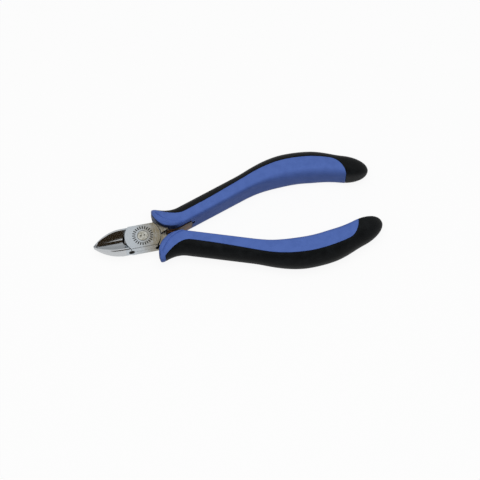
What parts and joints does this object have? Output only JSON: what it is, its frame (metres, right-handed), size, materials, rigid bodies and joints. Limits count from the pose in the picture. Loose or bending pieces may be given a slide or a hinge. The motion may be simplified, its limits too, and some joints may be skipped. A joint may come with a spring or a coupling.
{
  "type": "cutting pliers",
  "caption": "Oval-head diagonal cutting pliers with a lap joint, flush pivot, wire lead catcher, opening leaf springs and bowed handles with hard shells and soft outer pads.",
  "frame": {"origin": "centre of the bounding box in plan, on the table plane under the flats of the handles", "axes": "+X from the jaws to the ends of the handles, +Y to the upper handle, +Z out of the front face that shows the flush pivot"},
  "size_m": [0.1474, 0.0648, 0.0158],
  "materials": {
    "lever_steel": "ground and satin",
    "pivot_steel": "turned flush",
    "clip_brass": "turned",
    "spring_wire": "drawn wire",
    "grip_shell": "moulded, satin blue",
    "grip_pad": "moulded, soft black",
    "spring_strip": "blued spring steel"
  },
  "bodies": {
    "front_lever": {"lever_front": "lever_steel", "grip_core_lower": "grip_shell", "grip_pad_lower": "grip_pad", "leaf_spring_lower": "spring_strip"},
    "back_lever": {"lever_back": "lever_steel", "pivot_screw": "pivot_steel", "clip_screw": "clip_brass", "lead_catcher": "spring_wire", "grip_core_upper": "grip_shell", "grip_pad_upper": "grip_pad", "leaf_spring_upper": "spring_strip"}
  },
  "joints": [
    {"name": "jaw_pivot", "type": "hinge", "parent": "front_lever", "child": "back_lever", "pos_m": [-0.04817, 0, 0.0079], "axis": [0, 0, 1], "range_deg": [0, 16], "stiffness_Nm_per_rad": 1, "springref_deg": 12.03}
  ]
}
